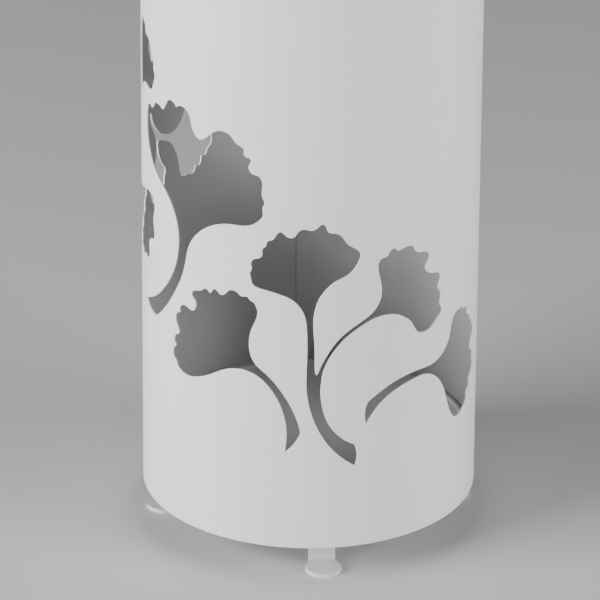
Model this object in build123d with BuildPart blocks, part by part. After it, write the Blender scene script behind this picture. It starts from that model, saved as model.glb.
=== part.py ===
"""Cylindrical sheet-steel umbrella stand with ginkgo-leaf cut-outs.

The body is one laser-cut sheet rolled into a tube and closed by a welded seam. A welded floor
carries four bent feet below it and a loose drip tray above it. Units are millimetres, +Z is up,
the origin is on the ground in the middle of the stand, and the front faces -Y.
"""
import math
import os

from build123d import *

# Driving dimensions
tube_diameter = 250.0
tube_height = 500.0
sheet = 1.2
ground_gap = 25.5  # ground to the tube's lower edge

floor_lift = 33.6  # tube's lower edge to the underside of the welded floor
floor_thickness = 2.0
floor_gap = 0.4  # between the floor's rim and the tube, bridged by the weld beads

tray_gap = 9.3  # between the tray's rim and the tube, when the tray lies in the middle
tray_height = 3.6
tray_sheet = 1.2
tray_shift = 4.3  # the loose tray lies a little to the right

foot_width = 20.0
foot_thickness = 3.0
foot_shank = 15.1  # middle of the round pad to the inner face of the upright strip
foot_tab = 24.0  # length of the tab under the floor
foot_bend = 3.5  # inside radius of both bends
pad_diameter = 26.6
# Each foot's angle to the right of the front, and how far inside the tube's outer face the middle
# of its pad is. The feet are placed by hand before welding, so they aren't quite regular.
foot_places = {
    "foot_front": (6.0, 14.4),
    "foot_right": (98.0, 15.5),
    "foot_back": (186.0, 14.4),
    "foot_left": (-85.5, 16.1),
}

weld_leg = 2.4
floor_bead_length = 22.0
floor_bead_count = 6
first_bead_angle = 36.0
foot_bead_length = 14.0
seam_angle = -175.0
seam_width = 1.6
seam_proud = 0.25

# The leaves were drawn for a sheet of this size, and are stretched to fit the real one
drawing_width = 250.0 * math.pi
drawing_height = 500.0
points_per_piece = 4  # longest stretch of an outline that is kept as one edge
cutter_start = 1.05  # a leaf's cutter starts outside the wall and ends well inside it,
cutter_depth = 0.45  # both as shares of the tube's radius

# Sizes that follow
outer = tube_diameter / 2
inner = outer - sheet
tube_bottom = ground_gap
floor_bottom = tube_bottom + floor_lift
floor_top = floor_bottom + floor_thickness
floor_radius = inner - floor_gap
tray_radius = inner - tray_gap

# Leaf outlines on the unrolled sheet, seen from outside: the first number runs to the right from
# the front of the stand, the second runs up from the tube's lower edge. Each outline is a ring of
# smooth runs that meet at the sharp corners.
big_leaf = [
    [(-142, 155.2), (-133, 162), (-125, 170.5), (-117, 181), (-110, 192.5), (-105, 203),
     (-101.5, 215), (-99.5, 224), (-96, 232), (-90, 240), (-82, 247), (-72, 252.5), (-62, 255.3),
     (-52, 256), (-46, 257), (-41.4, 259.2), (-38, 262), (-35.4, 265.2), (-34.7, 268.4),
     (-35.2, 272), (-33.6, 276.6), (-35.2, 281), (-35.6, 286), (-35.1, 290.4), (-36.6, 295.6),
     (-39, 297.6), (-41.6, 297.8), (-44, 299.2), (-45.5, 301.6), (-45.4, 305), (-44, 307.8),
     (-44.6, 309.8), (-48, 310.8), (-49.5, 312.8), (-49.3, 315.6), (-50.6, 317.7), (-54.5, 319.4),
     (-58.4, 323.2), (-61.4, 326), (-65, 327), (-70, 326.7), (-75, 324), (-80.5, 318.9),
     (-84, 316.4), (-87.4, 315.5), (-90.6, 316.8), (-93.2, 319.8), (-95, 323.4), (-96, 327.6),
     (-97.2, 331), (-99.2, 333.6), (-102.2, 335.4), (-105.6, 335.8), (-109, 334.9), (-111, 333.5),
     (-111.7, 333.1), (-112.4, 333.8), (-114.2, 335.4), (-117.4, 336.2), (-120.4, 335.8),
     (-122.6, 334.2), (-124.6, 331), (-127, 327.4), (-128.8, 325.4), (-129.9, 325), (-132, 325.8),
     (-136, 326.4), (-139.6, 326.3), (-142, 325.5), (-143.8, 323), (-146, 320.4), (-148.1, 319.2),
     (-149.3, 320), (-151.4, 320.7), (-154, 320), (-157.4, 317), (-159.4, 312), (-160, 305),
     (-159, 294), (-154, 284), (-146, 275), (-136, 268.2), (-126, 262.2), (-118, 254.6),
     (-112.2, 244.5), (-109.4, 232), (-110.2, 218.5), (-114, 205.5), (-120, 194), (-130, 181.5),
     (-140, 172.5), (-150, 166.5), (-163.5, 160.8)],
    [(-163.5, 160.8), (-154, 156.4), (-142, 155.2)],
]
low_leaf = [
    [(-6.2, 94.9), (-8.5, 103.8), (-12.3, 113.5), (-17.5, 123), (-24.5, 132.8), (-31, 139.7),
     (-37.6, 145), (-42, 150), (-44.6, 157.5), (-45, 166.5), (-43.2, 175.3), (-39.8, 183.3),
     (-38.6, 190), (-39.6, 193.6), (-41, 196.2), (-42.6, 197.4), (-44, 197.8), (-45, 199),
     (-46.2, 200.4), (-47.6, 200.6), (-50.6, 200.1), (-52.4, 200.8), (-54.6, 202.6), (-58, 203.5),
     (-61, 202.7), (-63.2, 200.4), (-65.2, 198.4), (-68, 197.6), (-70.4, 199.1), (-72.4, 200.5),
     (-74, 200.5), (-75.4, 198.8), (-77.4, 196.7), (-79.2, 197.7), (-81.3, 198.9), (-83.4, 197.8),
     (-87, 195.6), (-91.8, 194.2), (-94.8, 191.4), (-94.8, 189.4), (-92.3, 187), (-91, 184.6),
     (-91.2, 181), (-92.6, 178.2), (-95.8, 177), (-99, 178), (-102.4, 178.7), (-106, 177.4),
     (-108, 174), (-108, 171.5), (-110.4, 170), (-112.6, 167), (-112.6, 163.4), (-110.4, 158.6),
     (-108.8, 155.6), (-109.8, 153), (-112.6, 151.5), (-114.4, 148), (-114, 144.9), (-112.4, 143.2),
     (-114.6, 140.6), (-116, 136.6), (-115.2, 133), (-112, 130.2), (-110.6, 127), (-107.6, 124.8),
     (-102.6, 123.2), (-95, 123.5), (-87, 126.2), (-79, 130), (-71, 134.9), (-63, 139),
     (-54, 141.2), (-45, 140.6), (-37, 137.1), (-30, 130.6), (-23.6, 121.2), (-19.2, 110.5),
     (-16.8, 99.5), (-16.5, 89), (-17.4, 78.8)],
    [(-17.4, 78.8), (-11.2, 85.2), (-6.2, 94.9)],
]
middle_leaf = [
    [(34.2, 66.4), (22, 75.9), (12, 87.8), (5, 100.9), (0.4, 115), (-1.9, 130), (-2, 142),
     (-1.5, 160), (-1.9, 178), (-3.3, 188), (-7.4, 196.4), (-14, 202.4), (-22.5, 205.7),
     (-34, 208.1), (-42.9, 212), (-43.8, 216), (-44.6, 219.6), (-43.1, 223.4), (-43.8, 226.8),
     (-41.3, 231.4), (-37.6, 232.6), (-35, 236), (-35.2, 239.8), (-32.3, 243), (-31.2, 246.6),
     (-27.2, 248.5), (-24.4, 252.8), (-21.4, 255.2), (-17.8, 252.5), (-14, 251), (-10.9, 252.3),
     (-8.6, 255.9), (-4.8, 258.1), (0.2, 257.3), (4.9, 258.9), (9, 262.2), (11.3, 260),
     (13, 256), (16.2, 254.7), (20.3, 254), (23.3, 251.2), (28.2, 244.6), (34.4, 240.4),
     (36.8, 237), (35.8, 230.9), (32.1, 225), (26.8, 220.3), (19, 216.6), (12.4, 211),
     (7, 203.3), (3.8, 194), (2.6, 184), (3.4, 170), (3.9, 155), (4, 146)],
    [(4, 146), (5.2, 142), (7.6, 146.6)],
    [(7.6, 146.6), (9, 141), (8.2, 130), (9.2, 118), (12.2, 106.4), (18, 96.2), (25.6, 88.6),
     (33.6, 83.9)],
    [(33.6, 83.9), (35.9, 75.5), (34.2, 66.4)],
]
right_leaf = [
    [(6, 141), (8.7, 149.3), (12.2, 156.3), (17, 164.2), (23, 171.5), (31, 178), (40.5, 184),
     (47, 188.8), (51.6, 195), (53.8, 202.5), (53.2, 211.5), (51.2, 220.5), (51.1, 227.3),
     (53, 230.2), (58, 231.6), (60.8, 235.9), (63.2, 236.8), (67, 234.2), (71.5, 235.2),
     (77, 235.6), (80.2, 234.2), (81.9, 230.7), (85, 228.3), (89.5, 227.5), (93.8, 225.8),
     (96, 222.7), (94.4, 218.3), (91.9, 214.2), (94.2, 210), (100, 207.2), (105.6, 205.7),
     (108.4, 202), (107.3, 197.8), (105.6, 194), (107.9, 190), (109.2, 185), (107.8, 180.6),
     (110, 176.2), (110.2, 173), (105.5, 169.3), (100.6, 165.4), (95.5, 162.8), (90.5, 162.6),
     (86, 164.2), (82.9, 168), (79.3, 174.3), (73.2, 179.7), (66, 183.4), (58.5, 184.8),
     (50, 184.1), (40, 179.9), (31.5, 174.6), (24.5, 168.6), (18.2, 160.9), (13.6, 153.4),
     (10.2, 144.8), (8.4, 134)],
    [(8.4, 134), (6.2, 137), (6, 141)],
]
side_leaf = [
    [(44, 117), (50, 121.2), (58, 126), (66, 129.6), (75, 131.9), (85, 133.1), (95, 133),
     (102, 133.6), (109, 136), (115, 140.3), (119.6, 146), (122, 152.5), (123.6, 158.5),
     (126.2, 162.8), (130.5, 165.4), (135, 165.3), (139, 165.4), (141.5, 163), (146, 162.6),
     (149.6, 160.6), (149.3, 156.4), (151.6, 153.4), (156, 151.6), (157.2, 147.6), (161.4, 145.4),
     (162.6, 141.4), (166.6, 138), (166.4, 133.4), (161, 129.6), (158.2, 124.6), (161.4, 119.8),
     (166.2, 116), (164.8, 111.6), (167, 106.4), (161.5, 101.8), (156.2, 98.2), (157.6, 93.4),
     (151.5, 90.4), (151.4, 85.6), (146.4, 81.6), (140.5, 78.6), (134, 77.9), (128, 80.6),
     (123.4, 86.6), (119.4, 95.8), (116, 105.6), (112, 113.6), (106, 121), (98.5, 126),
     (90, 127.9), (82, 127), (73.5, 125.1), (65.5, 122), (58, 117.6), (52, 112.2), (47, 105.8),
     (42.6, 99.8)],
    [(42.6, 99.8), (41.7, 108.5), (44, 117)],
]
upper_leaf = [
    [(-211, 266), (-207.4, 281), (-200.5, 295), (-192.4, 307.6), (-186.2, 318.6), (-184.6, 329),
     (-187.4, 341), (-187.6, 354), (-184, 367), (-178, 377), (-172.6, 382.4), (-169, 380.4),
     (-164.4, 378.6), (-162.4, 373.4), (-157.4, 371.4), (-152.6, 369.2), (-149.4, 362.6),
     (-144.8, 357), (-144.8, 351.6), (-142.4, 346), (-144.8, 340.4), (-148, 334.4),
     (-155, 332), (-162, 332.8), (-169.4, 331.4), (-175.4, 326), (-180.6, 315.6),
     (-187.2, 304), (-194.4, 291), (-199.6, 277), (-202.6, 260)],
    [(-202.6, 260), (-208.6, 260.6), (-211, 266)],
]
edge_leaf = [
    [(-204.6, 268), (-206.4, 256), (-211, 247.6), (-217.6, 240.6), (-221, 232.6), (-217.4, 226.4),
     (-218.6, 219.6), (-213, 215.4), (-212.6, 208.6), (-206, 206.2), (-203, 199.6),
     (-195.6, 199.4), (-190, 194), (-182.4, 195.6), (-175.6, 191.4), (-168.6, 195),
     (-160.5, 194.6), (-154.6, 199.6), (-155.4, 205.6), (-153, 212.6), (-145.4, 216),
     (-144.6, 222.6), (-146.2, 232), (-143.8, 242.6), (-148, 248.6), (-157.6, 249.8),
     (-170, 246.6), (-182, 244), (-192, 246.6), (-198.6, 254), (-201.4, 268)],
    [(-201.4, 268), (-203, 270.4), (-204.6, 268)],
]
back_leaf = [
    [(-232.4, 279.6), (-236.4, 270.6), (-243, 262.6), (-252, 255), (-262, 250.6), (-270, 250.2),
     (-276.6, 253.4), (-283, 262.4), (-288.4, 273), (-295, 281), (-300.6, 283), (-303.4, 278.6),
     (-308.6, 276.4), (-308.8, 270.6), (-313.6, 266.6), (-312.4, 260.6), (-316.6, 255.4),
     (-313.6, 249.4), (-315, 243.4), (-311, 238.6), (-310.9, 234), (-311.2, 230.5), (-309.8, 226.8),
     (-307, 224), (-306, 221.4), (-304.4, 219.6), (-302.4, 220.4), (-301.2, 219.6), (-300.9, 216.6),
     (-299.8, 213.9), (-298, 212.6), (-296, 213.8), (-295, 213), (-294.6, 210.6), (-292.6, 208.6),
     (-290, 208.2), (-287, 209.6), (-283.5, 208.8), (-280.6, 209.6), (-276.4, 221), (-271.4, 234.6),
     (-265, 243), (-256.6, 247.6), (-248, 251.2)],
    [(-248, 251.2), (-246.2, 250), (-246, 247)],
    [(-246, 247), (-248.4, 238), (-253.4, 230), (-258.4, 222), (-256.6, 217.4), (-255.8, 211.6),
     (-250.6, 210.4), (-247.4, 205.6), (-241.8, 207.4), (-236.4, 204.4), (-232, 208.6),
     (-229.4, 214), (-231.6, 221.6), (-237.2, 230), (-241.4, 239), (-242.8, 249), (-239.6, 259.4),
     (-233, 268), (-229, 277.6)],
    [(-229, 277.6), (-230.2, 279.4), (-232.4, 279.6)],
]
leaves = [big_leaf, low_leaf, middle_leaf, right_leaf, side_leaf, upper_leaf, edge_leaf, back_leaf]


def moved(outline, right, up, mirrored=False):
    """A copy of an outline, moved on the sheet and turned left to right if it is mirrored."""
    sign = -1 if mirrored else 1
    return [[(sign * u + right, v + up) for u, v in run] for run in outline]


# The back of the stand repeats three leaves of the front, clear of the seam
leaves.append(moved(low_leaf, -219, 239.5))
leaves.append(moved(big_leaf, 166, 12, mirrored=True))
leaves.append(moved(side_leaf, 175, 300))


def outwards(angle):
    """Direction from the axis to a place on the wall, by its angle to the right of the front."""
    turned = math.radians(angle)
    return Vector(math.sin(turned), -math.cos(turned), 0)


def wall_plane(angle):
    """Plane through the axis that faces outwards; its x runs to the right and its y up."""
    facing = outwards(angle)
    return Plane(origin=(0, 0, tube_bottom), x_dir=(-facing.Y, facing.X, 0), z_dir=facing)


def radial_plane(angle):
    """Upright plane through the axis; its x runs outwards and its y up."""
    facing = outwards(angle)
    return Plane(origin=(0, 0, 0), x_dir=facing, z_dir=facing.cross(Vector(0, 0, 1)))


def short_pieces(run):
    """Edges of a few points each, along one smooth line through the points of a run."""
    whole = Edge.make_spline([Vector(*point) for point in run])
    count = math.ceil((len(run) - 1) / points_per_piece)
    return [whole.trim(i / count, (i + 1) / count) for i in range(count)]


def leaf_cutter(outline):
    """Prism that cuts one leaf, square to the wall at the leaf's middle."""
    across = [u for run in outline for u, v in run]
    middle = (min(across) + max(across)) / 2
    turn = 2 * math.pi / drawing_width
    stretch = tube_height / drawing_height
    edges = []
    for run in outline:
        edges += short_pieces([(outer * math.sin((u - middle) * turn), v * stretch) for u, v in run])
    outside = wall_plane(math.degrees(middle * turn)).offset(cutter_start * outer)
    with BuildPart() as cutter:
        extrude(outside * Face(Wire(edges)), amount=cutter_depth * outer, dir=-outside.z_dir, clean=False)
    return cutter.part


# Body: the rolled sheet with its leaves
with BuildPart() as body_tube:
    with BuildSketch(Plane.XY.offset(tube_bottom)):
        Circle(outer)
        Circle(inner, mode=Mode.SUBTRACT)
    extrude(amount=tube_height)
    for outline in leaves:
        add(leaf_cutter(outline), mode=Mode.SUBTRACT, clean=False)

# Seam: a narrow weld bead inside the tube, from end to end
half_seam = math.degrees(seam_width / 2 / inner)
seam_start = outwards(seam_angle - half_seam) * inner
seam_end = outwards(seam_angle + half_seam) * inner
with BuildPart() as seam_weld:
    with BuildSketch(Plane.XY.offset(tube_bottom)):
        with BuildLine():
            ThreePointArc(seam_start, outwards(seam_angle) * inner, seam_end)
            ThreePointArc(seam_start, outwards(seam_angle) * (inner - seam_proud), seam_end)
        make_face()
    extrude(amount=tube_height)

# Floor: a flat disc a little smaller than the tube
with BuildPart() as base_plate:
    with BuildSketch(Plane.XY.offset(floor_bottom)):
        Circle(floor_radius)
    extrude(amount=floor_thickness)

# Beads under the floor's rim that join it to the tube
half_bead = math.degrees(floor_bead_length / 2 / inner)
with BuildPart() as floor_welds:
    for i in range(floor_bead_count):
        bead_angle = first_bead_angle + 360 / floor_bead_count * i
        with BuildSketch(radial_plane(bead_angle - half_bead)):
            with BuildLine():
                Polyline(
                    (inner, floor_bottom),
                    (floor_radius - weld_leg, floor_bottom),
                    (inner, floor_bottom - weld_leg - floor_gap),
                    close=True,
                )
            make_face()
        revolve(axis=Axis.Z, revolution_arc=2 * half_bead)

# Tray: a shallow round pan that lies loose on the floor and lifts out
with BuildPart() as drip_tray:
    with BuildSketch(Plane.XY.offset(floor_top)):
        with Locations((tray_shift, 0)):
            Circle(tray_radius)
    extrude(amount=tray_height)
    with BuildSketch(Plane.XY.offset(floor_top + tray_sheet)):
        with Locations((tray_shift, 0)):
            Circle(tray_radius - tray_sheet)
    extrude(amount=tray_height, mode=Mode.SUBTRACT)

# Feet: a tab under the floor, an upright strip and a round pad on the ground
outer_bend = foot_bend + foot_thickness
feet = []
for name, (angle, inset) in foot_places.items():
    foot_plane = radial_plane(angle)
    pad_reach = outer - inset
    foot_reach = pad_reach - foot_shank
    tab_end = foot_reach + foot_thickness - foot_tab
    with BuildPart() as foot:
        with BuildSketch(foot_plane):
            with BuildLine():
                FilletPolyline(
                    (tab_end, floor_bottom),
                    (foot_reach + foot_thickness, floor_bottom),
                    (foot_reach + foot_thickness, foot_thickness),
                    (pad_reach, foot_thickness),
                    radius=[outer_bend, foot_bend],
                )
                Line((pad_reach, foot_thickness), (pad_reach, 0))
                FilletPolyline(
                    (pad_reach, 0),
                    (foot_reach, 0),
                    (foot_reach, floor_bottom - foot_thickness),
                    (tab_end, floor_bottom - foot_thickness),
                    radius=[outer_bend, foot_bend],
                )
                Line((tab_end, floor_bottom - foot_thickness), (tab_end, floor_bottom))
            make_face()
        extrude(amount=foot_width / 2, both=True)
        with BuildSketch(Plane(origin=foot_plane.x_dir * pad_reach)):
            Circle(pad_diameter / 2)
        extrude(amount=foot_thickness)
    foot.part.label = name
    feet.append(foot.part)

# Beads along both sides of each foot's tab
from_tab_end = (foot_tab - outer_bend - foot_bead_length) / 2
with BuildPart() as foot_welds:
    for angle, inset in foot_places.values():
        foot_plane = radial_plane(angle)
        outward, sideways = foot_plane.x_dir, foot_plane.z_dir
        tab_end = outer - inset - foot_shank + foot_thickness - foot_tab
        bead_start = tab_end + from_tab_end
        for side in (1, -1):
            corner = outward * bead_start + sideways * side * foot_width / 2 + Vector(0, 0, floor_bottom)
            with BuildSketch(Plane(origin=corner, x_dir=sideways * side, z_dir=outward * side)):
                with BuildLine():
                    Polyline((0, 0), (weld_leg, 0), (0, weld_leg), close=True)
                make_face()
            extrude(amount=side * foot_bead_length)

body_tube.part.label = "body_tube"
seam_weld.part.label = "seam_weld"
base_plate.part.label = "base_plate"
floor_welds.part.label = "floor_welds"
drip_tray.part.label = "drip_tray"
foot_welds.part.label = "foot_welds"

os.makedirs("parts", exist_ok=True)
export_step(body_tube.part, "parts/body_tube.step")
export_step(seam_weld.part, "parts/seam_weld.step")
export_step(base_plate.part, "parts/base_plate.step")
export_step(floor_welds.part, "parts/floor_welds.step")
export_step(drip_tray.part, "parts/drip_tray.step")
export_step(foot_welds.part, "parts/foot_welds.step")
for foot_part in feet:
    export_step(foot_part, f"parts/{foot_part.label}.step")
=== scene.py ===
# %% [markdown]
# # Umbrella stand
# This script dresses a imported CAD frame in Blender. The frame fixes every size and every place.
# Here the rolled sheet, the tray and the feet get softly rounded edges, the welds get their
# ripples, and everything gets its powder coat. Lengths are in metres and +Z is up.

import math

import bmesh
import bpy
import numpy as np
from mathutils import Matrix, Vector, geometry, kdtree


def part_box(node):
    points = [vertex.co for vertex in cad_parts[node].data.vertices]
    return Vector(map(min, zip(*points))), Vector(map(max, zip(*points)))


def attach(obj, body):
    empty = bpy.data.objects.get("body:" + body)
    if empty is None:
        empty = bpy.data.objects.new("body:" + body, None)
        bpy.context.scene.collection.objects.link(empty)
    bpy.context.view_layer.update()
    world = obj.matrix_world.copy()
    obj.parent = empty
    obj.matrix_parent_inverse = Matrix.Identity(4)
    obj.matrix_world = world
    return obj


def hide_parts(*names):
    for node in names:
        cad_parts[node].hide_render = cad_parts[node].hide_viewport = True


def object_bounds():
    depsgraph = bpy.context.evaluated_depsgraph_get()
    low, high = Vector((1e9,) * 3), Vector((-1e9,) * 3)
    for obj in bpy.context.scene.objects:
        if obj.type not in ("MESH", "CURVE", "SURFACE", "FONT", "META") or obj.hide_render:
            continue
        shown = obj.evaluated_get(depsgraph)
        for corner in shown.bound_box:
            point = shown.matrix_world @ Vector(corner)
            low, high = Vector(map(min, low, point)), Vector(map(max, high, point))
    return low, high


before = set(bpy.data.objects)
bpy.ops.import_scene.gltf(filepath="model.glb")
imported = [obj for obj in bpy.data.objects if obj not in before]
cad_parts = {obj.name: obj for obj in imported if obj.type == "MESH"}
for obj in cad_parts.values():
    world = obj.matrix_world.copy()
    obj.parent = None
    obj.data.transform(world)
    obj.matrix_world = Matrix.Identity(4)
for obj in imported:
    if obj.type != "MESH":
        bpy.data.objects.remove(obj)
cad_low, cad_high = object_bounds()
print("frame", [round(v, 4) for v in cad_low], [round(v, 4) for v in cad_high])

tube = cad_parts["body_tube"]
tube_low, tube_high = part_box("body_tube")
tube_radius = (tube_high.x - tube_low.x) / 2
inner_radius = min(math.hypot(v.co.x, v.co.y) for v in tube.data.vertices)
sheet = tube_radius - inner_radius
seam_low, seam_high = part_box("seam_weld")
seam_middle = (seam_low + seam_high) / 2
seam_angle = math.atan2(seam_middle.x, -seam_middle.y)
floor_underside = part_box("base_plate")[0].z
same_place = 1e-6  # corners nearer to each other than this are one corner

# %% [markdown]
# ## Camera
# A long lens far away keeps the tube's sides almost parallel. The camera looks down at a point on
# the stand's axis. It is then panned, tilted and rolled by less than a degree each, which puts the
# feet near the bottom of the frame and lets the tube run out of its top without any lens shift.

# %% Camera
view_elevation = math.radians(24.5508)
view_distance = 4.14984
view_height = 0.2255
pan_angle = math.radians(0.1009)
tilt_angle = math.radians(-0.7053)
roll_angle = math.radians(0.4496)

away = Vector((0, -math.cos(view_elevation), math.sin(view_elevation)))
camera_place = Vector((0, 0, view_height)) + away * view_distance
right = Vector((1, 0, 0))
forward = -away
up = right.cross(forward)
forward, right = (
    math.cos(pan_angle) * forward - math.sin(pan_angle) * right,
    math.cos(pan_angle) * right + math.sin(pan_angle) * forward,
)
forward, up = (
    math.cos(tilt_angle) * forward + math.sin(tilt_angle) * up,
    math.cos(tilt_angle) * up - math.sin(tilt_angle) * forward,
)
right, up = (
    math.cos(roll_angle) * right + math.sin(roll_angle) * up,
    math.cos(roll_angle) * up - math.sin(roll_angle) * right,
)

camera_data = bpy.data.cameras.new("camera")
camera_data.lens = 335.37
camera_data.sensor_width = 36
camera_data.clip_start = 0.1
camera_data.clip_end = 50
camera = bpy.data.objects.new("camera", camera_data)
bpy.context.collection.objects.link(camera)
camera_turn = Matrix((right, up, -forward)).transposed().to_4x4()
camera.matrix_world = Matrix.Translation(camera_place) @ camera_turn
bpy.context.scene.camera = camera

# %% [markdown]
# ## Materials
# One function makes each powder coat. Real powder coat isn't a flat colour: it has a faint
# orange-peel texture a millimetre or two across, a much finer grain, and broad, hardly visible
# changes of tone and gloss. Object coordinates are metres here, so each scale is a real size.
# On the tube the inner face is painted darker, as painted shade, and the cut edges are painted
# lighter, as a painted highlight.

# %% Materials
white = (0.80, 0.80, 0.80)
# painted shade: the floor and the tray are painted darker than the white outside, for the dim
# inside
inner_shade_tint = [0.85 * c for c in white]
# painted shade: the welds are painted darker than the white coat, for the shadow along the seam
weld_shade_tint = [0.55 * c for c in white]
# painted shade: the feet are painted a little darker than the white coat
foot_shade_tint = [0.86 * c for c in white]
inner_shade_share = 0.70  # painted shade: how dark the tube's inner face is painted, against the outer face
edge_highlight_share = 1.18  # painted highlight: how light the tube's cut edges are painted, against the outer face
darkest_tone, lightest_tone = 0.965, 1.02
tone_scale, gloss_scale, peel_scale, grain_scale = 9.0, 26.0, 520.0, 3200.0
peel_height, grain_height = 0.00003, 0.00001
grain_strength = 0.3
usual_low, usual_high = 0.3, 0.7  # the gloss noise seldom leaves this range
shade_blend_step = 0.0001  # sets how gradually the painted shade, the painted highlight and the outer face meet


def powder_coat(name, tint, gloss_range, peel=0.5, wall=None):
    """A satin powder coat: tint is its colour, gloss_range its lowest and highest roughness.
    A wall of (inner radius, outer radius) gets painted shade on its inner face, and a painted
    highlight on its cut edges."""
    material = bpy.data.materials.new(name)
    material.use_nodes = True
    nodes, links = material.node_tree.nodes, material.node_tree.links
    shader = nodes["Principled BSDF"]
    shader.inputs["Metallic"].default_value = 0.0
    shader.inputs["IOR"].default_value = 1.5
    place = nodes.new("ShaderNodeTexCoord").outputs["Object"]

    def noise(scale, detail):
        node = nodes.new("ShaderNodeTexNoise")
        node.inputs["Scale"].default_value = scale
        node.inputs["Detail"].default_value = detail
        links.new(place, node.inputs["Vector"])
        return node.outputs["Fac"]

    def ranged(value, low, high, at_low, at_high):
        node = nodes.new("ShaderNodeMapRange")
        node.inputs["From Min"].default_value = low
        node.inputs["From Max"].default_value = high
        node.inputs["To Min"].default_value = at_low
        node.inputs["To Max"].default_value = at_high
        links.new(value, node.inputs["Value"])
        return node.outputs["Result"]

    def bump(height, strength, distance):
        node = nodes.new("ShaderNodeBump")
        node.inputs["Strength"].default_value = strength
        node.inputs["Distance"].default_value = distance
        links.new(height, node.inputs["Height"])
        return node

    tone = nodes.new("ShaderNodeMix")
    tone.data_type = "RGBA"
    tone.inputs["A"].default_value = (*[darkest_tone * c for c in tint], 1)
    tone.inputs["B"].default_value = (*[lightest_tone * c for c in tint], 1)
    links.new(noise(tone_scale, 3.0), tone.inputs["Factor"])
    colour = tone.outputs["Result"]
    # Painted shade on the inner face and a painted highlight on the cut edges, chosen by radius.
    if wall:
        inner_face, outer_face = wall
        level = nodes.new("ShaderNodeVectorMath")
        level.operation = "MULTIPLY"
        level.inputs[1].default_value = (1, 1, 0)
        links.new(place, level.inputs[0])
        from_axis = nodes.new("ShaderNodeVectorMath")
        from_axis.operation = "LENGTH"
        links.new(level.outputs["Vector"], from_axis.inputs[0])
        radius = from_axis.outputs["Value"]
        share = nodes.new("ShaderNodeMath")
        share.operation = "MINIMUM"
        inwards = ranged(
            radius, inner_face + shade_blend_step, inner_face + 4 * shade_blend_step, inner_shade_share, edge_highlight_share
        )
        outwards = ranged(
            radius, outer_face - 3 * shade_blend_step, outer_face - shade_blend_step, edge_highlight_share, 1.0
        )
        links.new(inwards, share.inputs[0])
        links.new(outwards, share.inputs[1])
        shade_and_highlight = nodes.new("ShaderNodeVectorMath")
        shade_and_highlight.operation = "SCALE"
        links.new(colour, shade_and_highlight.inputs[0])
        links.new(share.outputs["Value"], shade_and_highlight.inputs["Scale"])
        colour = shade_and_highlight.outputs["Vector"]
    links.new(colour, shader.inputs["Base Color"])
    gloss = ranged(noise(gloss_scale, 5.0), usual_low, usual_high, *gloss_range)
    links.new(gloss, shader.inputs["Roughness"])

    peel_bump = bump(noise(peel_scale, 1.5), peel, peel_height)
    grain_bump = bump(noise(grain_scale, 1.0), grain_strength, grain_height)
    links.new(peel_bump.outputs["Normal"], grain_bump.inputs["Normal"])
    links.new(grain_bump.outputs["Normal"], shader.inputs["Normal"])
    return material


coats = {
    "body_coat": powder_coat("body_coat", white, (0.36, 0.46), wall=(inner_radius, tube_radius)),
    "floor_coat": powder_coat("floor_coat", inner_shade_tint, (0.44, 0.56)),
    "weld_coat": powder_coat("weld_coat", weld_shade_tint, (0.40, 0.52), peel=0.8),
    "tray_coat": powder_coat("tray_coat", inner_shade_tint, (0.42, 0.54)),
    "foot_coat": powder_coat("foot_coat", foot_shade_tint, (0.34, 0.44)),
}
print("coats", list(coats))


# %% [markdown]
# ## Handing a piece to the frame
# Each new piece stands in for one CAD node, takes that node's finish, and rides on its body.


# %% Piece helper
def hand_over(mesh, name, body, node, slot):
    """Makes an object of a finished mesh, in place of a CAD node."""
    mesh.materials.clear()
    mesh.materials.append(coats[slot])
    piece = bpy.data.objects.new(name, mesh)
    bpy.context.collection.objects.link(piece)
    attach(piece, body)
    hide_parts(node)
    triangles = sum(len(p.vertices) - 2 for p in mesh.polygons)
    print(f"{name}: {len(mesh.vertices)} points, {triangles} triangles")


def solved(mesh, add_modifiers):
    """A plain mesh of what a mesh becomes under some modifiers."""
    carrier = bpy.data.objects.new("carrier", mesh)
    bpy.context.collection.objects.link(carrier)
    add_modifiers(carrier)
    bpy.context.view_layer.update()
    seen = carrier.evaluated_get(bpy.context.evaluated_depsgraph_get())
    made = bpy.data.meshes.new_from_object(seen)
    bpy.data.objects.remove(carrier)
    return made


# %% [markdown]
# ## The rolled sheet, step 1: read the cut-outs
# The outer face of the CAD tube is every face whose corners all lie on the outer radius. The
# edges around that region are the leaf outlines and the two round rims. Unrolling turns an
# outline into flat points: the distance round the tube, and the height.

# %% Outlines of the cut-outs
radius_error = 2e-5  # a corner this near to the outer radius is on it
level_error = 1e-5  # a ring that rises less than this is a rim of the tube
shell = bmesh.new()
shell.from_mesh(tube.data)
bmesh.ops.remove_doubles(shell, verts=shell.verts, dist=same_place)


def on_outside(vertex):
    return abs(math.hypot(vertex.co.x, vertex.co.y) - tube_radius) < radius_error


outside = {f for f in shell.faces if all(on_outside(v) for v in f.verts)}
rim_edges = [e for e in shell.edges if sum(f in outside for f in e.link_faces) == 1]
beside = {}
for edge in rim_edges:
    one, other = edge.verts
    beside.setdefault(one, []).append(other)
    beside.setdefault(other, []).append(one)

outlines = []
met = set()
for first in beside:
    if first in met:
        continue
    ring = [first]
    met.add(first)
    while True:
        following = [v for v in beside[ring[-1]] if v not in met]
        if not following:
            break
        ring.append(following[0])
        met.add(following[0])
    if max(v.co.z for v in ring) - min(v.co.z for v in ring) < level_error:
        continue
    flat = []
    for v in ring:
        angle = math.atan2(v.co.x, -v.co.y)
        if angle < seam_angle:
            angle += 2 * math.pi
        flat.append((angle * tube_radius, v.co.z))
    outlines.append(np.array(flat))
shell.free()
print("sheet thickness", round(sheet * 1000, 3), "mm, cut-outs", len(outlines))

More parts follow.
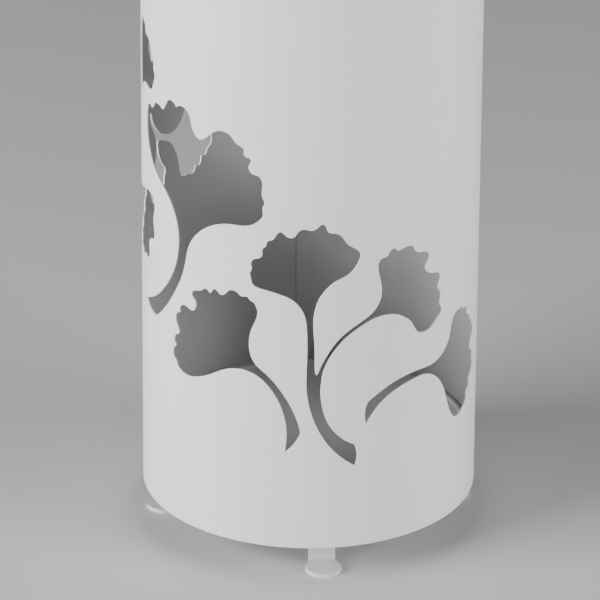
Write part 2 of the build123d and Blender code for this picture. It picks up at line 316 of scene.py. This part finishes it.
# %% [markdown]
# ## The rolled sheet, step 2: a flat sheet with soft edges
# The coat rounds every cut edge a little. Around each outline a stack of rings steps from the
# outer face, over a small quarter circle, down the cut wall, and over a second quarter circle on
# to the inner face. The flat faces between them are one constrained triangulation, used twice.
# Each point also keeps the direction that it faces, so the rolled tube shades without a crease.

# %% Flat sheet
edge_round = 0.0003
arc_steps = 3
grid_across = 0.004
grid_up = 0.005
clear_of_cut = 0.0016  # no grid point is nearer to a cut-out than this
sharpest_lean = 0.6  # keeps the rings at a sharp corner from reaching too far


def even_spacing(points, longest=0.0022, shortest=0.00025):
    """Drops a ring's points that crowd each other and divides its long straight stretches."""
    kept = [points[0]]
    for p in points[1:]:
        if np.linalg.norm(p - kept[-1]) > shortest:
            kept.append(p)
    if np.linalg.norm(kept[0] - kept[-1]) < shortest:
        kept.pop()
    spaced = []
    for i, start in enumerate(kept):
        end = kept[(i + 1) % len(kept)]
        parts = max(1, math.ceil(np.linalg.norm(end - start) / longest))
        spaced += [start + (end - start) * j / parts for j in range(parts)]
    return np.array(spaced)


def counter_clockwise(points):
    x, y = points[:, 0], points[:, 1]
    area = np.sum(x * np.roll(y, -1) - np.roll(x, -1) * y)
    return points if area > 0 else points[::-1]


def into_the_gap(points):
    """At each point of a ring, the direction away from the metal, longer at a sharp corner."""
    before = points - np.roll(points, 1, axis=0)
    after = np.roll(points, -1, axis=0) - points
    sides = []
    for step in (before, after):
        length = np.linalg.norm(step, axis=1)[:, None]
        sides.append(np.stack([-step[:, 1], step[:, 0]], axis=1) / length)
    middle = sides[0] + sides[1]
    middle /= np.maximum(np.linalg.norm(middle, axis=1)[:, None], 1e-6)
    lean = np.clip(np.sum(middle * sides[0], axis=1)[:, None], sharpest_lean, 1.0)
    return middle, 1 / lean


quarter = [math.pi / 2 * i / arc_steps for i in range(arc_steps + 1)]
stack = []
for turn in quarter:
    stack.append((edge_round * (math.sin(turn) - 1), -edge_round * (1 - math.cos(turn)), turn))
for turn in quarter:
    back_turn = math.pi / 2 + turn
    stack.append((edge_round * (math.sin(back_turn) - 1),
                  -(sheet - edge_round) + edge_round * math.cos(back_turn), back_turn))

flat_points = []
flat_facing = []
flat_faces = []


def add_stack(line, gap, stretch, closed):
    """Adds the rings of one edge: line is where the cut is, gap points away from the metal."""
    start = len(flat_points)
    count = len(line)
    for shift, depth, turn in stack:
        for (u, v), (gu, gv), longer in zip(line, gap, stretch):
            flat_points.append((u + gu * shift * longer, depth, v + gv * shift * longer))
            flat_facing.append((gu * math.sin(turn), math.cos(turn), gv * math.sin(turn)))
    for k in range(len(stack) - 1):
        low, high = start + k * count, start + (k + 1) * count
        for i in range(count if closed else count - 1):
            j = (i + 1) % count
            flat_faces.append((low + i, low + j, high + j, high + i))
    return [(flat_points[start + i][0], flat_points[start + i][2]) for i in range(count)]


seam_u = seam_angle * tube_radius
girth = 2 * math.pi * tube_radius
holes = []
for outline in outlines:
    ring = even_spacing(counter_clockwise(outline))
    gap, stretch = into_the_gap(ring)
    holes.append(add_stack(ring, gap, stretch[:, 0], closed=True))

across = np.linspace(seam_u, seam_u + girth, math.ceil(girth / grid_across) + 1)
heights = np.linspace(tube_low.z + edge_round, tube_high.z - edge_round,
                      math.ceil((tube_high.z - tube_low.z) / grid_up) + 1)
top_line = [(u, tube_high.z) for u in across]
low_line = [(u, tube_low.z) for u in across[::-1]]
ones = [1.0] * len(across)
top_inner = add_stack(top_line, [(0, 1)] * len(across), ones, closed=False)
low_inner = add_stack(low_line, [(0, -1)] * len(across), ones, closed=False)

corners = []
links = []
hole_faces = []
for ring in holes:
    start = len(corners)
    corners += ring
    links += [(start + i, start + (i + 1) % len(ring)) for i in range(len(ring))]
    hole_faces.append(list(range(start, start + len(ring))))
near = kdtree.KDTree(len(corners))
for i, (u, v) in enumerate(corners):
    near.insert((u, v, 0), i)
near.balance()
border = low_inner[::-1] + [(across[-1], z) for z in heights[1:-1]]
border += top_inner[::-1] + [(across[0], z) for z in heights[-2:0:-1]]
start = len(corners)
corners += border
links += [(start + i, start + (i + 1) % len(border)) for i in range(len(border))]
for i, z in enumerate(heights[1:-1]):
    for j, u in enumerate(across[1:-1]):
        u_here = u + (grid_across / 2 if i % 2 else 0)
        if u_here < across[-2] and near.find((u_here, z, 0))[2] > clear_of_cut:
            corners.append((u_here, z))

cut = geometry.delaunay_2d_cdt([Vector(c) for c in corners], links, hole_faces, 0, 1e-7, True)
cut_points, cut_faces, from_faces = cut[0], cut[2], cut[5]
metal = [f for f, origin in zip(cut_faces, from_faces) if not origin]
for depth, facing, flipped in ((0.0, (0, 1, 0), False), (-sheet, (0, -1, 0), True)):
    start = len(flat_points)
    flat_points += [(p.x, depth, p.y) for p in cut_points]
    flat_facing += [facing] * len(cut_points)
    flat_faces += [tuple(start + i for i in (reversed(f) if flipped else f)) for f in metal]

sheet_mesh = bpy.data.meshes.new("flat_sheet")
sheet_mesh.from_pydata(flat_points, [], flat_faces)
facing_data = sheet_mesh.attributes.new("facing", "FLOAT_VECTOR", "POINT")
facing_data.data.foreach_set("vector", np.array(flat_facing, np.float32).ravel())
print("flat sheet:", len(flat_points), "points")

# %% [markdown]
# ## The rolled sheet, step 3: roll it
# A small Geometry Nodes tree rolls any flat sheet: the distance across becomes an angle, and the
# depth is taken from the radius. It turns the stored facing in the same way, then closes the
# seam. The tree has one named input, the radius, so it would roll another sheet as well.


# %% Roll with Geometry Nodes
def math_node(tree, operation, first, second=None):
    """One arithmetic step: each input is a number or another node's output."""
    node = tree.nodes.new("ShaderNodeMath")
    node.operation = operation
    for socket, value in zip(node.inputs, (first, second)):
        if value is None:
            continue
        if isinstance(value, (int, float)):
            socket.default_value = value
        else:
            tree.links.new(value, socket)
    return node.outputs[0]


roll = bpy.data.node_groups.new("roll_sheet", "GeometryNodeTree")
roll.interface.new_socket("Geometry", in_out="INPUT", socket_type="NodeSocketGeometry")
radius_input = roll.interface.new_socket("Radius", in_out="INPUT", socket_type="NodeSocketFloat")
roll.interface.new_socket("Geometry", in_out="OUTPUT", socket_type="NodeSocketGeometry")
group_in = roll.nodes.new("NodeGroupInput")
group_out = roll.nodes.new("NodeGroupOutput")
where = roll.nodes.new("GeometryNodeInputPosition")
flat = roll.nodes.new("ShaderNodeSeparateXYZ")
roll.links.new(where.outputs[0], flat.inputs[0])
stored = roll.nodes.new("GeometryNodeInputNamedAttribute")
stored.data_type = "FLOAT_VECTOR"
stored.inputs["Name"].default_value = "facing"
faced = roll.nodes.new("ShaderNodeSeparateXYZ")
roll.links.new(stored.outputs["Attribute"], faced.inputs[0])

turn_by = math_node(roll, "DIVIDE", flat.outputs["X"], group_in.outputs["Radius"])
sine = math_node(roll, "SINE", turn_by)
cosine = math_node(roll, "COSINE", turn_by)
from_axis = math_node(roll, "ADD", group_in.outputs["Radius"], flat.outputs["Y"])
toward_us = math_node(roll, "MULTIPLY", math_node(roll, "MULTIPLY", from_axis, cosine), -1.0)
rolled = roll.nodes.new("ShaderNodeCombineXYZ")
roll.links.new(math_node(roll, "MULTIPLY", from_axis, sine), rolled.inputs["X"])
roll.links.new(toward_us, rolled.inputs["Y"])
roll.links.new(flat.outputs["Z"], rolled.inputs["Z"])

faced_x = math_node(roll, "ADD", math_node(roll, "MULTIPLY", faced.outputs["X"], cosine),
                    math_node(roll, "MULTIPLY", faced.outputs["Y"], sine))
faced_y = math_node(roll, "SUBTRACT", math_node(roll, "MULTIPLY", faced.outputs["X"], sine),
                    math_node(roll, "MULTIPLY", faced.outputs["Y"], cosine))
new_facing = roll.nodes.new("ShaderNodeCombineXYZ")
roll.links.new(faced_x, new_facing.inputs["X"])
roll.links.new(faced_y, new_facing.inputs["Y"])
roll.links.new(faced.outputs["Z"], new_facing.inputs["Z"])
store = roll.nodes.new("GeometryNodeStoreNamedAttribute")
store.data_type = "FLOAT_VECTOR"
store.domain = "POINT"
store.inputs["Name"].default_value = "facing"
move = roll.nodes.new("GeometryNodeSetPosition")
weld = roll.nodes.new("GeometryNodeMergeByDistance")
weld.inputs["Distance"].default_value = 2 * same_place
roll.links.new(group_in.outputs["Geometry"], store.inputs["Geometry"])
roll.links.new(new_facing.outputs[0], store.inputs["Value"])
roll.links.new(store.outputs["Geometry"], move.inputs["Geometry"])
roll.links.new(rolled.outputs[0], move.inputs["Position"])
roll.links.new(move.outputs["Geometry"], weld.inputs["Geometry"])
roll.links.new(weld.outputs["Geometry"], group_out.inputs["Geometry"])


def with_roll(carrier):
    modifier = carrier.modifiers.new("roll", "NODES")
    modifier.node_group = roll
    modifier[radius_input.identifier] = tube_radius


wall_mesh = solved(sheet_mesh, with_roll)
wall_mesh.shade_smooth()
directions = np.zeros(len(wall_mesh.vertices) * 3, np.float32)
wall_mesh.attributes["facing"].data.foreach_get("vector", directions)
directions = directions.reshape(-1, 3)
directions /= np.linalg.norm(directions, axis=1)[:, None]
wall_mesh.attributes.remove(wall_mesh.attributes["facing"])
wall_mesh.normals_split_custom_set_from_vertices([tuple(map(float, d)) for d in directions])
loose_rims = bmesh.new()
loose_rims.from_mesh(wall_mesh)
print("open edges in the rolled wall:", sum(len(e.link_faces) != 2 for e in loose_rims.edges))
loose_rims.free()
hand_over(wall_mesh, "tube_wall", "stand", "body_tube", "body_coat")

# %% [markdown]
# ## Drip tray
# The tray is turned on a lathe of points: a profile of radius and height, with rounded corners,
# goes round its own middle. The lip leans out a touch, and the floor of the pan is faintly dished.


# %% Drip tray
def rounded(profile, radii, steps=5):
    """Replaces each corner of a closed profile with a small arc; a radius of 0 keeps the corner."""
    made = []
    for i, (corner, radius) in enumerate(zip(profile, radii)):
        corner = Vector(corner)
        if radius == 0:
            made.append(tuple(corner))
            continue
        to_before = (Vector(profile[i - 1]) - corner).normalized()
        to_after = (Vector(profile[(i + 1) % len(profile)]) - corner).normalized()
        half = to_before.angle(to_after) / 2
        reach = radius / math.tan(half)
        middle = corner + (to_before + to_after).normalized() * radius / math.sin(half)
        start, end = corner + to_before * reach - middle, corner + to_after * reach - middle
        for k in range(steps + 1):
            spoke = (start * (1 - k / steps) + end * (k / steps)).normalized() * radius
            made.append(tuple(middle + spoke))
    return made


def lathe(profile, middle_x, middle_y, count):
    """Mesh of a closed profile of (radius, height) points, turned about an upright line."""
    made = bmesh.new()
    rings = []
    for radius, height in profile:
        if radius < same_place:
            rings.append([made.verts.new((middle_x, middle_y, height))] * count)
            continue
        rings.append([
            made.verts.new((
                middle_x + radius * math.cos(2 * math.pi * i / count),
                middle_y + radius * math.sin(2 * math.pi * i / count),
                height,
            ))
            for i in range(count)
        ])
    for k, ring in enumerate(rings):
        above = rings[(k + 1) % len(rings)]
        if ring[0] is ring[1] and above[0] is above[1]:
            continue
        for i in range(count):
            j = (i + 1) % count
            corners = list(dict.fromkeys((ring[i], ring[j], above[j], above[i])))
            made.faces.new(corners)
    bmesh.ops.recalc_face_normals(made, faces=made.faces)
    mesh = bpy.data.meshes.new("turned")
    made.to_mesh(mesh)
    made.free()
    return mesh


def even_shading(carrier):
    modifier = carrier.modifiers.new("even", "WEIGHTED_NORMAL")
    modifier.mode = "FACE_AREA"
    modifier.weight = 50


tray_low, tray_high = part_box("drip_tray")
tray_middle = (tray_low + tray_high) / 2
tray_radius = (tray_high.x - tray_low.x) / 2
tray_sheet = 0.0012
tray_dish = 0.0003
lip_lean = 0.0006
lip_round, foot_round = 0.0005, 0.0009
profile = [
    (0, tray_low.z + tray_sheet - tray_dish),
    (tray_radius * 0.5, tray_low.z + tray_sheet - tray_dish * 0.6),
    (tray_radius - tray_sheet - lip_lean, tray_low.z + tray_sheet),
    (tray_radius - tray_sheet, tray_high.z),
    (tray_radius, tray_high.z),
    (tray_radius - lip_lean, tray_low.z),
    (tray_radius * 0.5, tray_low.z),
    (0, tray_low.z),
]
profile = rounded(profile, [0, 0, foot_round, lip_round, lip_round, foot_round, 0, 0])
tray_mesh = lathe(profile, tray_middle.x, tray_middle.y, count=240)
tray_mesh.shade_smooth()
tray_mesh = solved(tray_mesh, even_shading)
hand_over(tray_mesh, "tray_pan", "tray", "drip_tray", "tray_coat")

# %% [markdown]
# ## Feet and floor
# These keep the CAD shape, with every sharp edge rounded as a thick coat would round it. The
# faces are first joined where they are flat, so that the bevel follows the true edges only.


# %% Softened copies
def softened(node, width, segments):
    """A copy of a CAD node's mesh with its sharp edges rounded."""
    copy = bmesh.new()
    copy.from_mesh(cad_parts[node].data)
    bmesh.ops.remove_doubles(copy, verts=copy.verts, dist=same_place)
    bmesh.ops.dissolve_limit(
        copy, angle_limit=math.radians(0.5), verts=copy.verts, edges=copy.edges
    )
    mesh = bpy.data.meshes.new("copied")
    copy.to_mesh(mesh)
    copy.free()
    mesh.shade_smooth()

    def with_bevel(carrier):
        bevel = carrier.modifiers.new("soft", "BEVEL")
        bevel.width = width
        bevel.segments = segments
        bevel.limit_method = "ANGLE"
        bevel.angle_limit = math.radians(32)
        even_shading(carrier)

    return solved(mesh, with_bevel)


for foot in ("foot_front", "foot_right", "foot_back", "foot_left"):
    hand_over(softened(foot, width=0.0005, segments=4), foot + "_strip", "stand", foot, "foot_coat")
floor_mesh = softened("base_plate", width=0.0004, segments=3)
hand_over(floor_mesh, "floor_disc", "stand", "base_plate", "floor_coat")

# %% [markdown]
# ## Welds
# A weld bead is a row of small overlapping ripples, so it suits Geometry Nodes: the tree puts a
# flattened ball on every point of a mesh, turned as the point says, and makes them real. Only the
# points are worked out here. Each point's turn is an Euler rotation whose x runs across the bead,
# y along it and z out of the surface.


# %% Weld ripples with Geometry Nodes
ripples = bpy.data.node_groups.new("weld_ripples", "GeometryNodeTree")
ripples.interface.new_socket("Geometry", in_out="INPUT", socket_type="NodeSocketGeometry")
size_input = ripples.interface.new_socket(
    "Ripple Size", in_out="INPUT", socket_type="NodeSocketVector"
)
coat_input = ripples.interface.new_socket(
    "Coat", in_out="INPUT", socket_type="NodeSocketMaterial"
)
ripples.interface.new_socket("Geometry", in_out="OUTPUT", socket_type="NodeSocketGeometry")
ripple_in = ripples.nodes.new("NodeGroupInput")
ripple_out = ripples.nodes.new("NodeGroupOutput")
ball = ripples.nodes.new("GeometryNodeMeshUVSphere")
ball.inputs["Segments"].default_value = 12
ball.inputs["Rings"].default_value = 8
ball.inputs["Radius"].default_value = 1.0
turns = ripples.nodes.new("GeometryNodeInputNamedAttribute")
turns.data_type = "FLOAT_VECTOR"
turns.inputs["Name"].default_value = "turn"
spread = ripples.nodes.new("GeometryNodeInstanceOnPoints")
real = ripples.nodes.new("GeometryNodeRealizeInstances")
soft = ripples.nodes.new("GeometryNodeSetShadeSmooth")
dressed = ripples.nodes.new("GeometryNodeSetMaterial")
ripples.links.new(ripple_in.outputs["Geometry"], spread.inputs["Points"])
ripples.links.new(ball.outputs["Mesh"], spread.inputs["Instance"])
ripples.links.new(turns.outputs["Attribute"], spread.inputs["Rotation"])
ripples.links.new(ripple_in.outputs["Ripple Size"], spread.inputs["Scale"])
ripples.links.new(spread.outputs["Instances"], real.inputs["Geometry"])
ripples.links.new(real.outputs["Geometry"], soft.inputs["Geometry"])
ripples.links.new(soft.outputs["Geometry"], dressed.inputs["Geometry"])
ripples.links.new(ripple_in.outputs["Coat"], dressed.inputs["Material"])
ripples.links.new(dressed.outputs["Geometry"], ripple_out.inputs["Geometry"])


def turned(along, out):
    """Euler rotation for a ripple, from its direction along the bead and out of the surface."""
    along, out = Vector(along).normalized(), Vector(out).normalized()
    return Matrix((along.cross(out), along, out)).transposed().to_euler()


def weld_bead(name, node, points, size):
    """Ripples at (place, turn) points, in place of a CAD weld."""
    spots = bpy.data.meshes.new(name + "_spots")
    spots.from_pydata([place for place, turn in points], [], [])
    spot_turns = spots.attributes.new("turn", "FLOAT_VECTOR", "POINT")
    spot_turns.data.foreach_set("vector", [c for place, turn in points for c in turn])

    def with_ripples(carrier):
        modifier = carrier.modifiers.new("ripples", "NODES")
        modifier.node_group = ripples
        modifier[size_input.identifier] = size
        modifier[coat_input.identifier] = coats["weld_coat"]

    hand_over(solved(spots, with_ripples), name, "stand", node, "weld_coat")


def islands(node):
    """The separate lumps of a CAD node, each as its triangles' corners."""
    lumps = bmesh.new()
    lumps.from_mesh(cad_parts[node].data)
    bmesh.ops.remove_doubles(lumps, verts=lumps.verts, dist=same_place)
    found = []
    reached = set()
    for first in lumps.faces:
        if first in reached:
            continue
        reached.add(first)
        group = [first]
        for face in group:
            for edge in face.edges:
                for other in edge.link_faces:
                    if other not in reached:
                        reached.add(other)
                        group.append(other)
        found.append([[v.co.copy() for v in face.verts] for face in group])
    lumps.free()
    return found


upward = Vector((0, 0, 1))
ripple_step = 0.0013
seam_ripple = (0.00065, 0.0009, 0.00025)  # half its width, its length and its height
floor_ripple = (0.0015, 0.0011, 0.0008)
foot_ripple = (0.0015, 0.0011, 0.0007)
seam_margin = 0.0015  # the seam's ripples stop this far from both rims
bead_cover = 0.94  # the share of a short bead's length that its ripples' middles take up
rim_sink = 0.42  # how deep in its corner a rim bead lies, as a share of its leg
tab_sink = 0.0003


def wall_direction(angle):
    """The level direction from the axis to the wall, at an angle to the right of the front."""
    return Vector((math.sin(angle), -math.cos(angle), 0))


seam_spots = []
seam_out = wall_direction(seam_angle)
seam_count = int((tube_high.z - tube_low.z - 2 * seam_margin) / ripple_step)
for i in range(seam_count):
    height = tube_low.z + seam_margin + i * ripple_step
    place = seam_out * inner_radius + upward * height
    seam_spots.append((place, turned(upward, -seam_out)))
weld_bead("seam_bead", "seam_weld", seam_spots, seam_ripple)

rim_spots = []
for lump in islands("floor_welds"):
    corners_here = [c for triangle in lump for c in triangle]
    centre = sum(corners_here, Vector()) / len(corners_here)
    middle_angle = math.atan2(centre.x, -centre.y)
    reach = max(abs(wall_direction(middle_angle).cross(c).z) for c in corners_here) / inner_radius
    half_angle = math.asin(reach)
    leg = floor_underside - min(c.z for c in corners_here)
    count = int(2 * half_angle * inner_radius / ripple_step)
    for i in range(count + 1):
        angle = middle_angle + half_angle * (2 * i / count - 1) * bead_cover
        outward = wall_direction(angle)
        sunk = leg * rim_sink
        place = outward * (inner_radius - sunk) + upward * (floor_underside - sunk)
        rim_spots.append((place, turned(outward.cross(upward), -outward - upward)))
weld_bead("floor_beads", "floor_welds", rim_spots, floor_ripple)

tab_spots = []
for lump in islands("foot_welds"):
    # The largest triangle of a bead lies on its slanting face, and shows which way the bead runs
    largest = max(lump, key=lambda t: (t[1] - t[0]).cross(t[2] - t[0]).length)
    normal = (largest[1] - largest[0]).cross(largest[2] - largest[0]).normalized()
    if normal.z > 0:
        normal.negate()
    sides = [largest[i] - largest[i - 1] for i in range(3)]
    along = sorted(sides, key=lambda side: side.length)[1].normalized()
    corners_here = [c for triangle in lump for c in triangle]
    slant = [c for c in corners_here if abs((c - largest[0]).dot(normal)) < level_error]
    ends = [c.dot(along) for c in slant]
    centre = sum(slant, Vector()) / len(slant)
    centre += along * ((min(ends) + max(ends)) / 2 - centre.dot(along))
    levels = [c.z for c in slant]
    centre.z = (min(levels) + max(levels)) / 2
    run = max(ends) - min(ends)
    count = int(run / ripple_step)
    for i in range(count + 1):
        shift = run * (i / count - 0.5) * bead_cover
        tab_spots.append((centre + along * shift - normal * tab_sink, turned(along, normal)))
weld_bead("foot_beads", "foot_welds", tab_spots, foot_ripple)

# %% [markdown]
# ## Floor and light
# A wide pale floor fills the whole view. The light is one large soft key from the left, a weaker
# fill from the right, and a dim even sky. A rolled white tube shows every difference in light as
# a slow gradient, so the lights are wide and far apart. They stand only about a metre high, so
# that little light falls in through the open top and the inside stays darker than the outside.

# %% Floor and light
floor_reach = 8.0
studio_mesh = bpy.data.meshes.new("studio_floor")
studio_mesh.from_pydata(
    [(x * floor_reach, y * floor_reach, 0) for x, y in ((-1, -1), (1, -1), (1, 1), (-1, 1))],
    [],
    [(0, 1, 2, 3)],
)
studio_floor = bpy.data.objects.new("studio_floor", studio_mesh)
bpy.context.collection.objects.link(studio_floor)
floor_paint = bpy.data.materials.new("floor_paint")
floor_paint.use_nodes = True
floor_shader = floor_paint.node_tree.nodes["Principled BSDF"]
floor_shader.inputs["Base Color"].default_value = (0.62, 0.62, 0.63, 1)
floor_shader.inputs["Roughness"].default_value = 0.75
studio_mesh.materials.append(floor_paint)


def area_light(name, place, target, size, power):
    """A square soft light at a place, facing a target; its size is a side in metres."""
    data = bpy.data.lights.new(name, "AREA")
    data.size = size
    data.energy = power
    light = bpy.data.objects.new(name, data)
    bpy.context.collection.objects.link(light)
    light.location = place
    light.rotation_mode = "QUATERNION"
    light.rotation_quaternion = (Vector(target) - Vector(place)).to_track_quat("-Z", "Y")


middle = (cad_low + cad_high) / 2
area_light("key", (-2.9, -1.4, 1.15), middle, 2.2, 224)
area_light("fill", (2.5, -1.2, 0.9), middle, 1.6, 90)

world = bpy.data.worlds.new("studio_air")
world.use_nodes = True
world.node_tree.nodes["Background"].inputs["Color"].default_value = (1, 1, 1, 1)
world.node_tree.nodes["Background"].inputs["Strength"].default_value = 0.03
bpy.context.scene.world = world
